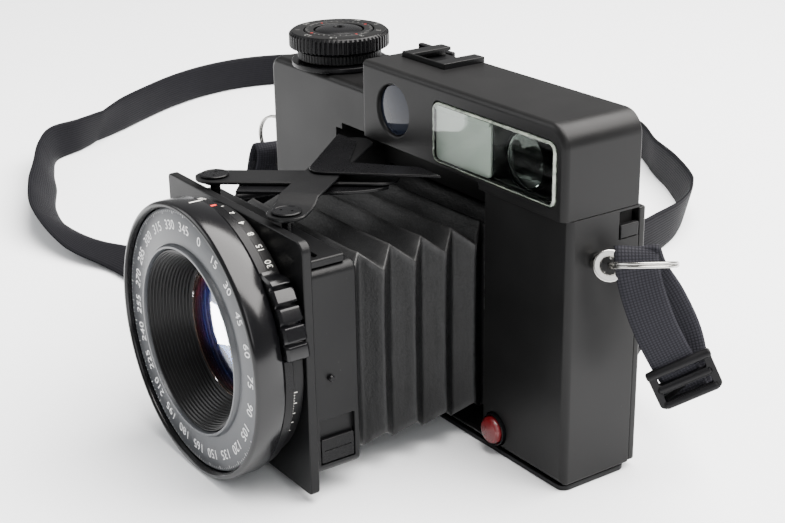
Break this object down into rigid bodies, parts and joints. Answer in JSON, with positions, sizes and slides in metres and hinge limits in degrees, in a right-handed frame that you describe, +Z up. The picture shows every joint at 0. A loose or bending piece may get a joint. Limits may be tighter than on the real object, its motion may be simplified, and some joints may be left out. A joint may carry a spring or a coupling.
{
  "type": "folding camera",
  "caption": "Folding rangefinder camera with a bellows lens on crossed struts, top dials, a hinged film door and a woven neck strap with split rings.",
  "frame": {"origin": "middle of the base plate's underside, which stands on the floor", "axes": "the lens looks along -Y, +Z is up, +X is the side with the viewfinder window"},
  "size_m": [0.5028, 0.3443, 0.1159],
  "materials": {
    "black_paint": "satin black anodised",
    "gloss_black": "polished black",
    "dark_inside": "dull black",
    "bright_chrome": "bright",
    "plain_steel": "plain",
    "coated_glass": "coated",
    "frosted_plastic": "frosted",
    "red_plastic": "gloss",
    "black_plastic": "moulded",
    "bellows_cloth": "coated cloth",
    "strap_webbing": "woven"
  },
  "bodies": {
    "body": {"base_plate": "black_paint", "front_cover": "black_paint", "finder_housing": "black_paint", "dial_collar": "black_paint", "accessory_shoe": "black_paint", "release_bezel": "gloss_black", "eyepiece": "gloss_black", "main_casting": "dark_inside", "bellows_frame": "dark_inside", "tripod_bush": "bright_chrome", "lug_left": "bright_chrome", "lug_right": "bright_chrome", "split_ring_left": "bright_chrome", "split_ring_right": "bright_chrome", "battery_cover": "plain_steel", "hinge_pin": "plain_steel", "viewfinder_window": "coated_glass", "finder_objective": "coated_glass", "rangefinder_window": "coated_glass", "eyepiece_lens": "coated_glass", "frosted_panel": "frosted_plastic", "buckle_left": "black_plastic", "buckle_right": "black_plastic", "strap": "strap_webbing"},
    "carriage": {"focus_rail_left": "plain_steel", "focus_rail_right": "plain_steel", "bellows": "bellows_cloth"},
    "dial": {"focus_dial": "gloss_black"},
    "standard": {"lens_plate": "black_paint", "shutter_housing": "black_paint", "side_pin": "plain_steel", "strut_ledge": "black_paint", "front_ring": "gloss_black", "name_ring": "black_paint", "lens_cone": "dark_inside", "lens_barrel": "dark_inside", "front_element": "coated_glass", "aperture_blades": "dark_inside", "shutter_blades": "plain_steel", "rear_element": "coated_glass"},
    "yoke": {"strut_pivot": "plain_steel", "strut_yoke": "black_paint"},
    "lower_strut": {"strut_lower": "black_paint", "strut_guide_plate": "black_paint", "strut_pin_lower": "plain_steel"},
    "upper_strut": {"strut_upper": "black_paint", "strut_pin_upper": "plain_steel"},
    "shutter_key": {"shutter_button": "black_paint"},
    "release_key": {"release_button": "red_plastic"},
    "lever": {"advance_lever": "black_paint"},
    "spool": {"takeup_spool": "black_plastic"},
    "roller_left": {"film_roller_left": "plain_steel"},
    "roller_right": {"film_roller_right": "plain_steel"},
    "door": {"back_door": "black_paint", "pressure_plate": "gloss_black", "pressure_spring": "plain_steel"},
    "latch": {"door_latch": "black_paint"},
    "stop_ring": {"aperture_ring": "gloss_black"},
    "time_ring": {"speed_ring": "black_paint"},
    "switch": {"sync_switch": "black_paint"}
  },
  "joints": [
    {"name": "focus_slide", "type": "slide", "parent": "body", "child": "carriage", "axis": [0, -1, 0], "range_m": [0, 0.007]},
    {"name": "dial_turn", "type": "hinge", "parent": "body", "child": "dial", "pos_m": [-0.0545, -0.0017, 0.11], "axis": [0, 0, 1], "range_deg": [0, 280]},
    {"name": "fold_slide", "type": "slide", "parent": "carriage", "child": "standard", "axis": [0, 1, 0], "range_m": [0, 0.057], "deforming": ["bellows"]},
    {"name": "yoke_slide", "type": "slide", "parent": "carriage", "child": "yoke", "axis": [0, 1, 0], "range_m": [0, 0.0304]},
    {"name": "lower_strut_turn", "type": "hinge", "parent": "yoke", "child": "lower_strut", "pos_m": [0.002, -0.0444, 0.085], "axis": [0, 0, -1], "range_deg": [0, 51.05]},
    {"name": "upper_strut_turn", "type": "hinge", "parent": "yoke", "child": "upper_strut", "pos_m": [0.002, -0.0444, 0.085], "axis": [0, 0, 1], "range_deg": [0, 51.05]},
    {"name": "shutter_press", "type": "slide", "parent": "body", "child": "shutter_key", "axis": [0, 0, -1], "range_m": [0, 0.0015], "stiffness_N_per_m": 900, "springref_m": -0.001},
    {"name": "release_press", "type": "slide", "parent": "body", "child": "release_key", "axis": [0, 1, 0], "range_m": [0, 0.002], "stiffness_N_per_m": 900, "springref_m": -0.001},
    {"name": "lever_turn", "type": "hinge", "parent": "body", "child": "lever", "pos_m": [-0.0545, -0.0017, 0.104], "axis": [0, 0, 1], "range_deg": [0, 150], "stiffness_Nm_per_rad": 0.02, "springref_deg": -34.38},
    {"name": "spool_turn", "type": "hinge", "parent": "body", "child": "spool", "pos_m": [-0.0597, 0.0011, 0.043], "axis": [0, 0, 1], "range_deg": [0, 301]},
    {"name": "roller_left_turn", "type": "hinge", "parent": "body", "child": "roller_left", "pos_m": [-0.0446, 0.0058, 0.045], "axis": [0, 0, 1], "continuous": true},
    {"name": "roller_right_turn", "type": "hinge", "parent": "body", "child": "roller_right", "pos_m": [0.0486, 0.0058, 0.045], "axis": [0, 0, 1], "continuous": true},
    {"name": "door_hinge", "type": "hinge", "parent": "body", "child": "door", "pos_m": [-0.0836, 0.0126, 0.043], "axis": [0, 0, 1], "range_deg": [0, 110], "deforming": ["strap"]},
    {"name": "latch_slide", "type": "slide", "parent": "body", "child": "latch", "axis": [0, 0, 1], "range_m": [0, 0.0035], "stiffness_N_per_m": 400, "springref_m": -0.001},
    {"name": "stop_turn", "type": "hinge", "parent": "standard", "child": "stop_ring", "pos_m": [0.002, -0.08, 0.043], "axis": [0, 1, 0], "range_deg": [-30, 20]},
    {"name": "time_turn", "type": "hinge", "parent": "standard", "child": "time_ring", "pos_m": [0.002, -0.08, 0.043], "axis": [0, 1, 0], "range_deg": [-40, 40]},
    {"name": "switch_slide", "type": "slide", "parent": "standard", "child": "switch", "axis": [0, 0, 1], "range_m": [0, 0.006]}
  ],
  "couplings": [
    {"joint": "dial_turn", "follows": "focus_slide", "rad_per_m": 698},
    {"joint": "yoke_slide", "follows": "fold_slide", "ratio": 0.533},
    {"joint": "lower_strut_turn", "follows": "fold_slide", "rad_per_m": 15.63},
    {"joint": "upper_strut_turn", "follows": "fold_slide", "rad_per_m": 15.63},
    {"joint": "spool_turn", "follows": "lever_turn", "ratio": 2}
  ]
}
